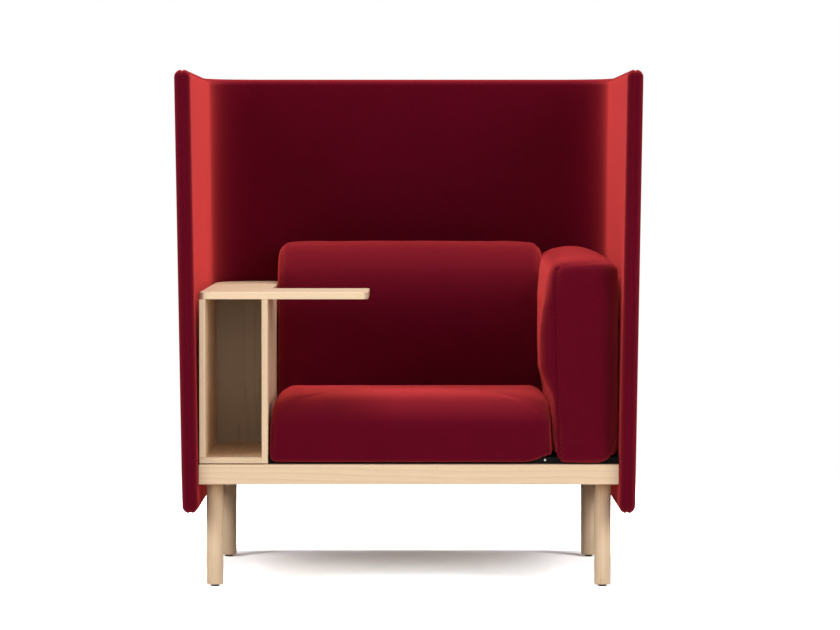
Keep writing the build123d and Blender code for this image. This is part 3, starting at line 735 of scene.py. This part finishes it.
class ChairFrame(bpy.types.Operator):
    """Rails and cross beams of solid ash"""

    bl_idname = "chair.frame"
    bl_label = "Frame"

    def execute(self, context):
        wood = context.scene.chair_wood
        rail = ash_wood("ash_front_rail", "X", (0.020, -0.325), 1.0)
        low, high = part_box("front_rail")
        bm = eased_board(low, high, wood.edge)
        as_piece("front_rail_board", bm, rail, replaces=("front_rail",))
        paint(ash_wood("ash_cross_rails", "X", (0.03, -0.12), 0.97), "rear_rail", "cross_beams")
        paint(ash_wood("ash_side_rails", "Y", (0.10, 0.03), 0.97), "left_side_rail", "right_side_rail")
        paint(ash_wood("beech_dowels", "X", (0.0, 0.0), 0.8), "frame_dowels", "shelf_dowels")
        return {"FINISHED"}


class ChairLegs(bpy.types.Operator):
    """Four turned ash legs"""

    bl_idname = "chair.legs"
    bl_label = "Legs"

    def execute(self, context):
        wood = context.scene.chair_wood
        hearts = {"front_left": 0.012, "front_right": -0.016, "rear_left": 0.020, "rear_right": -0.010}
        for place, heart in hearts.items():
            low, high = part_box("leg_" + place)
            centre = (low + high) / 2
            bm = bmesh.new()
            bmesh.ops.create_circle(bm, cap_ends=True, radius=(high.x - low.x) / 2, segments=wood.steps)
            bmesh.ops.translate(bm, vec=(centre.x, centre.y, low.z), verts=bm.verts)
            raised(bm, bm.faces[:] + bm.edges[:], high.z - low.z)
            foot = [edge for edge in bm.edges if all(v.co.z < low.z + 1e-5 for v in edge.verts)]
            bend_edges(bm, foot, wood.leg_edge, 4)
            line = (-centre.x + heart, -centre.y + 0.022)
            material = ash_wood("ash_leg_" + place, "Z", line, 1.04, 74.0)
            as_piece("turned_leg_" + place, bm, material, replaces=("leg_" + place,))
        return {"FINISHED"}


class ChairGlides(bpy.types.Operator):
    """Black levelling glides, each on its own body"""

    bl_idname = "chair.glides"
    bl_label = "Glides"

    def execute(self, context):
        nylon = moulded_nylon("glide_nylon")
        for place in ("front_left", "front_right", "rear_left", "rear_right"):
            low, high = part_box("glide_" + place)
            centre = (low + high) / 2
            head = low.z + 5.0 * mm
            wide = (high.x - low.x) / 2
            bm = bmesh.new()
            self.disc(bm, centre, low.z, head, wide, 0.8 * mm, 64)
            self.disc(bm, centre, head - 0.2 * mm, head + 0.25 * mm, wide * 0.72, 0.1 * mm, 6)
            self.disc(bm, centre, head, high.z, 4.0 * mm, 0.4 * mm, 40)
            body = "glide_" + place + "_foot"
            as_piece("glide_foot_" + place, bm, nylon, body, ("glide_" + place,))
        return {"FINISHED"}

    def disc(self, bm, centre, low_z, high_z, radius, edge, sides):
        """One turned step of the glide: a disc with soft rims."""
        ring = bmesh.ops.create_circle(bm, cap_ends=True, radius=radius, segments=sides)["verts"]
        bmesh.ops.translate(bm, vec=(centre.x, centre.y, low_z), verts=ring)
        faces = [face for face in bm.faces if all(v in ring for v in face.verts)]
        top = raised(bm, faces, high_z - low_z)
        rims = [e for e in bm.edges if all(v in ring for v in e.verts) or all(v in top for v in e.verts)]
        bend_edges(bm, rims, edge, 2)


class ChairPlatform(bpy.types.Operator):
    """Black seat platform and its small steel stud"""

    bl_idname = "chair.platform"
    bl_label = "Platform"

    def execute(self, context):
        paint(stained_board("black_stain"), "seat_platform")
        steel = plated_steel("zinc_plate")
        paint(steel, "platform_screws", "shelf_screws", "leg_bolts", "glide_inserts", "bracket_screws")
        paint(steel, "shell_bolts", "cushion_stud")
        paint(powder_coat("black_powder_coat"), "shell_brackets")
        paint(plain_ply("screen_ply"), "shell_core")
        foam = cut_foam("cushion_foam")
        for name in ("seat_cushion_foam", "back_cushion_foam", "arm_cushion_foam"):
            low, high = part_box(name)
            inset = Vector((6 * mm, 6 * mm, 6 * mm))
            block = eased_board(low + inset, high - inset, 26 * mm, 4)
            as_piece(name + "_block", block, foam, replaces=(name,))
        # painted shade: the spacer strip under the shelf is near black, for the shadow gap between the
        # shelf and the frame
        paint(pressed_fibre("spacer_painted_shade"), "shelf_spacers")
        return {"FINISHED"}


class ChairShelf(bpy.types.Operator):
    """Open shelf box of ash boards"""

    bl_idname = "chair.shelf"
    bl_label = "Shelf"

    def execute(self, context):
        edge = context.scene.chair_wood.edge
        upright = ash_wood("ash_shelf_sides", "Z", (0.30, 0.45), 0.99, 48.0)
        # painted shade: the back board's ash is toned down to half, darker than the other boards, for the
        # shade deep inside the shelf
        inside = ash_wood("ash_shelf_back_painted_shade", "Z", (0.40, 0.16), 0.50, 52.0)
        floor = ash_wood("ash_shelf_floor", "Y", (0.40, 0.20), 0.92, 50.0)
        soft = edge * 0.8
        boards = (("shelf_left_side", upright), ("shelf_bottom", floor), ("shelf_back", inside))
        for node, material in boards:
            board = eased_board(*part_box(node), soft)
            as_piece(node + "_board", board, material, replaces=(node,))
        bm = block_mesh(*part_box("shelf_right_side"))
        notch_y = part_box("shelf_back")[1].y + 0.5 * mm
        notch_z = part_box("seat_platform")[1].z + 0.5 * mm
        for place, way in (((0, notch_y, 0), (0, 1, 0)), ((0, 0, notch_z), (0, 0, 1))):
            whole = bm.verts[:] + bm.edges[:] + bm.faces[:]
            bmesh.ops.bisect_plane(bm, geom=whole, plane_co=place, plane_no=way)
        middles = [(face, face.calc_center_median()) for face in bm.faces]
        spare = [face for face, middle in middles if middle.y > notch_y and middle.z < notch_z]
        bmesh.ops.delete(bm, geom=spare, context="FACES")
        bmesh.ops.holes_fill(bm, edges=bm.edges, sides=8)
        bmesh.ops.recalc_face_normals(bm, faces=bm.faces)
        bend_edges(bm, sharp_edges(bm), soft, 3)
        as_piece("shelf_right_side_board", bm, upright, replaces=("shelf_right_side",))
        return {"FINISHED"}


class ChairTable(bpy.types.Operator):
    """L-shaped table top with rounded corners"""

    bl_idname = "chair.table"
    bl_label = "Table top"

    def execute(self, context):
        low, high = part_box("table_top")
        step_y = low.y + 240 * mm
        strip_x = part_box("shelf_right_side")[1].x
        small, wide = (16 * mm, 8), (104 * mm, 16)  # a corner's radius and steps
        plan = (
            (low.x, low.y, small),
            (high.x, low.y, small),
            (high.x, step_y, small),
            (strip_x, step_y, None),
            (strip_x, high.y, None),
            (low.x, high.y, wide),
        )
        bm = bmesh.new()
        bm.faces.new([bm.verts.new((x, y, low.z)) for x, y, rounding in plan])
        raised(bm, bm.faces[:], high.z - low.z)
        bmesh.ops.recalc_face_normals(bm, faces=bm.faces)
        for x, y, rounding in plan:
            if rounding:
                bend_edges(bm, [upright_at(bm, x, y)], *rounding)
        rims = [edge for edge in sharp_edges(bm) if not along(edge, 2)]
        bend_edges(bm, rims, 1.8 * mm, 4)
        # painted shade and painted highlight: the top's ash is toned down to 0.78 against the light from
        # above, with a painted highlight along the front edge
        material = ash_wood("ash_table_painted_light", "X", (-0.66, 0.55), 0.78, 44.0, painted_light_edge_y=low.y + 2 * mm)
        as_piece("table_top_board", bm, material, replaces=("table_top",))
        return {"FINISHED"}


class ChairSeatCushion(bpy.types.Operator):
    """Seat cushion with a crowned top, a rolled front and sewn end panels"""

    bl_idname = "chair.seat_cushion"
    bl_label = "Seat cushion"

    def execute(self, context):
        low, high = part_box("seat_cushion_cover")
        side_top = high.z - 20 * mm
        bm = block_mesh(low, (high.x, high.y, side_top))
        bend_edges(bm, top_edges(bm, side_top), 50 * mm, 10)
        bend_edges(bm, sharp_edges(bm), 13 * mm, 4)
        piece = remeshed(bm, "seat_cushion", context.scene.chair_cushion.voxel)

        crown, uneven = 12 * mm, 0.9 * mm
        left_roll, right_roll, front_roll = (52 * mm, 20 * mm), (32 * mm, 12 * mm), (130 * mm, 16 * mm)
        left_tuck, right_tuck = (30 * mm, 7 * mm), (34 * mm, 9 * mm)
        near_front, near_end = 150 * mm, 190 * mm

        def puff(co):
            back, up = share(co.y, low.y, high.y), share(co.z, low.z, side_top)
            left, right, front = co.x - low.x, high.x - co.x, co.y - low.y
            rise = crown * math.sin(math.pi * (0.08 + 0.84 * back)) ** 0.7
            rise -= fallen(left, *left_roll) + fallen(right, *right_roll)
            rise -= fallen(front, *front_roll)
            rise += loose(co, uneven)
            nearness = smooth_step(1 - front / near_front)
            tuck = fallen(left, *left_tuck) + fallen(right, *right_tuck)
            lean = 5 * mm * (2 * up - 0.9) ** 2 + 46 * mm * max(0.0, up - 0.5) ** 2
            co.y += nearness * (lean + tuck)
            co.x -= 2 * mm * smooth_step((up - 0.3) / 0.7) * smooth_step(1 - right / near_end)
            co.x += 3 * mm * smooth_step((up - 0.4) / 0.6) * smooth_step(1 - left / near_end)
            co.z += up * rise
            return co

        fill_out(piece, low, high, puff)
        hang(piece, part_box("cushion_stud")[0].x + 16 * mm)
        sew_ends(piece, low, high, 1.5 * mm)
        finish_cushion(piece, "seat_cushion")
        return {"FINISHED"}


class ChairBackCushion(bpy.types.Operator):
    """Back cushion with a full rolled top and a front that swells over the seat"""

    bl_idname = "chair.back_cushion"
    bl_label = "Back cushion"

    def execute(self, context):
        low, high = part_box("back_cushion_cover")
        side_top = high.z - 26 * mm
        bm = block_mesh(low, (high.x, high.y, side_top))
        bend_edges(bm, top_edges(bm, side_top), 58 * mm, 10)
        bend_edges(bm, sharp_edges(bm), 14 * mm, 4)
        piece = remeshed(bm, "back_cushion", context.scene.chair_cushion.voxel)

        crown, uneven_top, uneven_front = 26 * mm, 1.0 * mm, 1.2 * mm
        left_roll, right_roll, tuck = (26 * mm, 15 * mm), (30 * mm, 20 * mm), (30 * mm, 12 * mm)

        def puff(co):
            back, up = share(co.y, low.y, high.y), share(co.z, low.z, side_top)
            left, right = co.x - low.x, high.x - co.x
            middle = math.sin(math.pi * share(co.x, low.x, high.x)) ** 0.6
            rise = crown * math.sin(math.pi * (0.05 + 0.9 * back)) ** 0.8 * (0.85 + 0.15 * middle)
            rise -= fallen(left, *left_roll) + fallen(right, *right_roll)
            rise += loose(co, uneven_top)
            above, below = max(0.0, up - 0.5), max(0.0, 0.5 - up)
            lean = 190 * mm * above**2 + 560 * mm * above**4 + 90 * mm * below**2
            lean += 8 * mm * (1 - middle) + fallen(min(left, right), *tuck)
            co.y += (1 - back) * (lean + loose(co, uneven_front))
            co.z += smooth_step(up * 1.5 - 0.5) * rise
            return co

        fill_out(piece, low, high, puff)
        sew_ends(piece, low, high, 1.6 * mm)
        finish_cushion(piece, "back_cushion")
        return {"FINISHED"}


class ChairArmCushion(bpy.types.Operator):
    """Tall arm cushion with a top-stitched front panel"""

    bl_idname = "chair.arm_cushion"
    bl_label = "Arm cushion"
    seam = (
        (31, -4), (30, 40), (27, 110), (22, 190), (20, 270), (19.5, 350), (22, 400), (27, 424),
        (34, 432), (60, 436), (100, 439), (128, 441), (146, 441),
    )  # across and up from the cushion's lower left corner, in millimetres
    side_points = 8  # how many of them lie up the panel's left side

    def execute(self, context):
        low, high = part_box("arm_cushion_cover")
        seat_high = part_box("seat_cushion_cover")[1]
        base_left = seat_high.x + 0.6 * mm
        side_top = high.z - 30 * mm
        bm = block_mesh((base_left, low.y, low.z), (high.x - 0.6 * mm, high.y, side_top))
        bend_edges(bm, [upright_at(bm, high.x, high.y)], 108 * mm, 12)
        bend_edges(bm, [upright_at(bm, high.x, low.y)], 46 * mm, 10)
        bend_edges(bm, sharp_edges(bm), 15 * mm, 5)
        piece = remeshed(bm, "arm_cushion", context.scene.chair_cushion.voxel)

        crown, uneven_top, uneven_side = 31 * mm, 1.0 * mm, 1.2 * mm
        front_roll, side_roll, side_tuck = (60 * mm, 14 * mm), (30 * mm, 9 * mm), (46 * mm, 24 * mm)
        belly_front, belly_loss, near_front = 30 * mm, 12 * mm, 110 * mm

        def puff(co):
            across, up = share(co.x, base_left, high.x), share(co.z, low.z, side_top)
            front, side = co.y - low.y, across * (high.x - base_left)
            full = math.sin(math.pi * share(co.y, low.y - 40 * mm, high.y + 160 * mm)) ** 0.8
            rise = crown * math.sin(math.pi * (0.08 + 0.92 * across) ** 0.96) ** 0.8 * full
            rise -= fallen(front, *front_roll)
            rise -= fallen(side, *side_roll)
            rise += loose(co, uneven_top)
            over_seat = smooth_step((co.z - seat_high.z + 30 * mm) / (100 * mm))
            below_top = smooth_step((side_top + 34 * mm - co.z) / (190 * mm))
            belly = belly_front - belly_loss * smooth_step(front / (260 * mm))
            belly *= over_seat * (0.2 + 0.8 * below_top)
            near = smooth_step(1 - front / near_front)
            press = 7 * mm * (1 - smooth_step((co.z - low.z) / (180 * mm))) * near
            rounded = fallen(side, *side_tuck) * over_seat
            tilt = 15 * mm * smooth_step(up * 4 - 3.1) ** 1.5
            co.x -= (1 - across) ** 1.5 * (belly - press + loose(co, uneven_side))
            co.y += near * (4 * mm * (2 * across - 1) ** 2 + tilt + rounded)
            co.z += smooth_step(up * 1.4 - 0.4) * rise
            return co

        fill_out(piece, low, high, puff)
        hang(piece, high.x + 10 * mm)
        line = [Vector((low.x + dx * mm, 0.0, low.z + dz * mm)) for dx, dz in self.seam]
        up_side, over_top = line[: self.side_points], line[self.side_points - 1 :]
        side, top = (self.beside(part, low.y + 60 * mm) for part in (up_side, over_top))
        sew(piece, [(side, 3.2 * mm, 3.6 * mm), (top, 1.0 * mm, 3.6 * mm)])
        self.stitch(piece, up_side, low.y)
        finish_cushion(piece, "arm_cushion")
        return {"FINISHED"}

    def beside(self, line, rear_y):
        """Distance to the front panel's seam, for points near the front."""
        parts = list(zip(line, line[1:]))

        def distance(co):
            if co.y > rear_y:
                return 1.0
            flat = Vector((co.x, 0.0, co.z))
            nearest = (share(intersect_point_line(flat, *part)[1], 0.0, 1.0) for part in parts)
            return min((flat - start.lerp(end, at)).length for (start, end), at in zip(parts, nearest))

        return distance

    def stitch(self, piece, line, front_y):
        """A row of stitches just inside the front panel's seam."""
        s = bpy.context.scene.chair_cushion
        tree = BVHTree.FromObject(piece, bpy.context.evaluated_depsgraph_get())
        shape = Matrix.Diagonal((s.thread / 2, s.thread / 2, s.stitch / 2, 1))
        inside = 3.4 * mm
        bm = bmesh.new()
        gap = 0.0
        for start, end in zip(line, line[1:]):
            way = (end - start).normalized()
            aside = Vector((way.z, 0.0, -way.x)) * inside
            place = gap
            while place < (end - start).length:
                spot = start + way * place + aside
                place += 1.5 * s.stitch
                before = Vector((spot.x, front_y - 0.1, spot.z))
                hit, normal, _, _ = tree.ray_cast(before, Vector((0, 1, 0)))
                if hit is None:
                    continue
                turn = (way - normal * way.dot(normal)).to_track_quat("Z", "Y").to_matrix().to_4x4()
                matrix = Matrix.Translation(hit + normal * 0.15 * s.thread) @ turn @ shape
                bmesh.ops.create_icosphere(bm, subdivisions=1, radius=1.0, matrix=matrix)
            gap = place - (end - start).length
        thread = bpy.data.materials["seam_thread_painted_shade"]
        as_piece("arm_cushion_stitches", bm, thread, weighted=False)


class ChairCloth(bpy.types.Operator):
    """Wool cloth of the cushions"""

    bl_idname = "chair.cloth"
    bl_label = "Cloth"

    def execute(self, context):
        wool_cloth("cushion_wool")
        sewing_thread("seam_thread_painted_shade")
        return {"FINISHED"}


class ChairStage(bpy.types.Operator):
    """Pale floor, soft studio light and the camera"""

    bl_idname = "chair.stage"
    bl_label = "Stage"

    def execute(self, context):
        s = context.scene.chair_stage
        context.scene.view_settings.view_transform = "Standard"
        self.lay_floor(s)
        self.light(s)
        self.set_camera(context.scene)
        return {"FINISHED"}

    def seen_directly(self, tree):
        """1 for rays from the camera, a mirror or glass, 0 for the light that falls on things."""
        path = tree.nodes.new("ShaderNodeLightPath")
        total = path.outputs["Is Camera Ray"]
        for kind in ("Is Glossy Ray", "Is Transmission Ray"):
            either = tree.nodes.new("ShaderNodeMath")
            either.operation = "MAXIMUM"
            tree.links.new(total, either.inputs[0])
            tree.links.new(path.outputs[kind], either.inputs[1])
            total = either.outputs[0]
        return total

    def lay_floor(self, s):
        """A floor that fades to plain white."""
        n = Nodes("stage_floor")
        seen = self.seen_directly(n.tree)
        speck = n.noise(n.place(), 3.0, 2.0)
        pale = n.mix(speck, shade(s.floor, 0.99), shade(s.floor, 1.0))
        lifted = n.vector("SCALE", pale, s.shown)
        material = n.finish(n.mix(seen, pale, lifted), 0.9, Specular_IOR_Level=0.0)
        away = n.put("VectorMath", [(0, n.place())], operation="LENGTH").outputs["Value"]
        span = [("From Min", 0.5 * s.open_floor), ("From Max", s.open_floor)]
        fade = n.put("MapRange", [("Value", away)] + span)
        fade.interpolation_type = "SMOOTHSTEP"
        plain = n.put("Emission", [("Color", (1.0, 1.0, 1.0)), ("Strength", 1.0)]).outputs[0]
        faded = n.math("MULTIPLY", fade.outputs[0], seen)
        both = n.put("MixShader", [(0, faded), (1, n.shader.outputs[0]), (2, plain)])
        n.feed(n.output.inputs["Surface"], both.outputs[0])
        bm = bmesh.new()
        bmesh.ops.create_grid(bm, x_segments=8, y_segments=8, size=30.0)
        floor = linked("studio_floor", as_mesh("studio_floor", bm))
        floor.data.materials.append(material)

    def light(self, s):
        world = bpy.data.worlds.new("studio_air")
        bpy.context.scene.world = world
        world.use_nodes = True
        tree = world.node_tree
        tree.nodes.clear()
        level = tree.nodes.new("ShaderNodeMapRange")
        tree.links.new(self.seen_directly(tree), level.inputs["Value"])
        level.inputs["To Min"].default_value = s.air
        level.inputs["To Max"].default_value = 1.0
        sky = tree.nodes.new("ShaderNodeBackground")
        sky.inputs["Color"].default_value = (1.0, 1.0, 1.0, 1.0)
        tree.links.new(level.outputs[0], sky.inputs["Strength"])
        out = tree.nodes.new("ShaderNodeOutputWorld")
        tree.links.new(sky.outputs[0], out.inputs[0])
        lamps = (
            ("top_light", (0.0, 0.6, 3.2), (0.0, -0.1, 0.5), s.key, (1.5, 1.5)),
            ("left_light", (-3.1, -2.5, 2.1), (0.0, 0.0, 0.6), s.left, (1.6, 2.4)),
            ("right_light", (3.1, -2.5, 2.1), (0.0, 0.0, 0.6), s.right, (1.6, 2.4)),
            ("front_light", (0.0, -3.6, 1.5), (0.0, 0.0, 0.5), s.fill, (5.0, 1.2)),
        )
        for name, place, target, energy, size in lamps:
            lamp = bpy.data.lights.new(name, "AREA")
            lamp.shape = "RECTANGLE"
            lamp.size, lamp.size_y = size
            lamp.energy = energy
            holder = linked(name, lamp)
            holder.location = place
            way = Vector(target) - Vector(place)
            holder.rotation_euler = way.to_track_quat("-Z", "Y").to_euler()

    def set_camera(self, scene):
        """The photo's view."""
        lens = bpy.data.cameras.new("photo_view")
        lens.sensor_width = 36.0
        lens.lens = 132.9
        lens.shift_x = 0.0134
        lens.shift_y = -0.0854
        lens.clip_end = 200.0
        camera = linked("photo_view", lens)
        camera.location = (0.0, -7.36, 0.943)
        camera.rotation_euler = Euler((math.radians(88.67), 0.0, 0.0), "XYZ")
        scene.camera = camera


class ChairPanel(bpy.types.Panel):
    """Lists the chair's pieces and settings"""

    bl_idname = "CHAIR_PT_pieces"
    bl_label = "Lounge chair"
    bl_space_type = "VIEW_3D"
    bl_region_type = "UI"
    bl_category = "Chair"

    def draw(self, context):
        for name, group in SETTINGS:
            box = self.layout.box()
            for key in group.__annotations__:
                box.prop(getattr(context.scene, name), key)
        for operator in OPERATORS:
            self.layout.operator(operator.bl_idname)


OPERATORS = (
    ChairStage,
    ChairCloth,
    ChairScreen,
    ChairFrame,
    ChairLegs,
    ChairGlides,
    ChairPlatform,
    ChairShelf,
    ChairTable,
    ChairSeatCushion,
    ChairBackCushion,
    ChairArmCushion,
)


def register():
    for name, group in SETTINGS:
        bpy.utils.register_class(group)
        setattr(bpy.types.Scene, name, PointerProperty(type=group))
    for operator in OPERATORS:
        bpy.utils.register_class(operator)
    bpy.utils.register_class(ChairPanel)


def unregister():
    bpy.utils.unregister_class(ChairPanel)
    for operator in reversed(OPERATORS):
        bpy.utils.unregister_class(operator)
    for name, group in reversed(SETTINGS):
        delattr(bpy.types.Scene, name)
        bpy.utils.unregister_class(group)


def main():
    register()
    for operator in OPERATORS:
        group, name = operator.bl_idname.split(".")
        getattr(getattr(bpy.ops, group), name)()


if __name__ == "__main__":
    main()
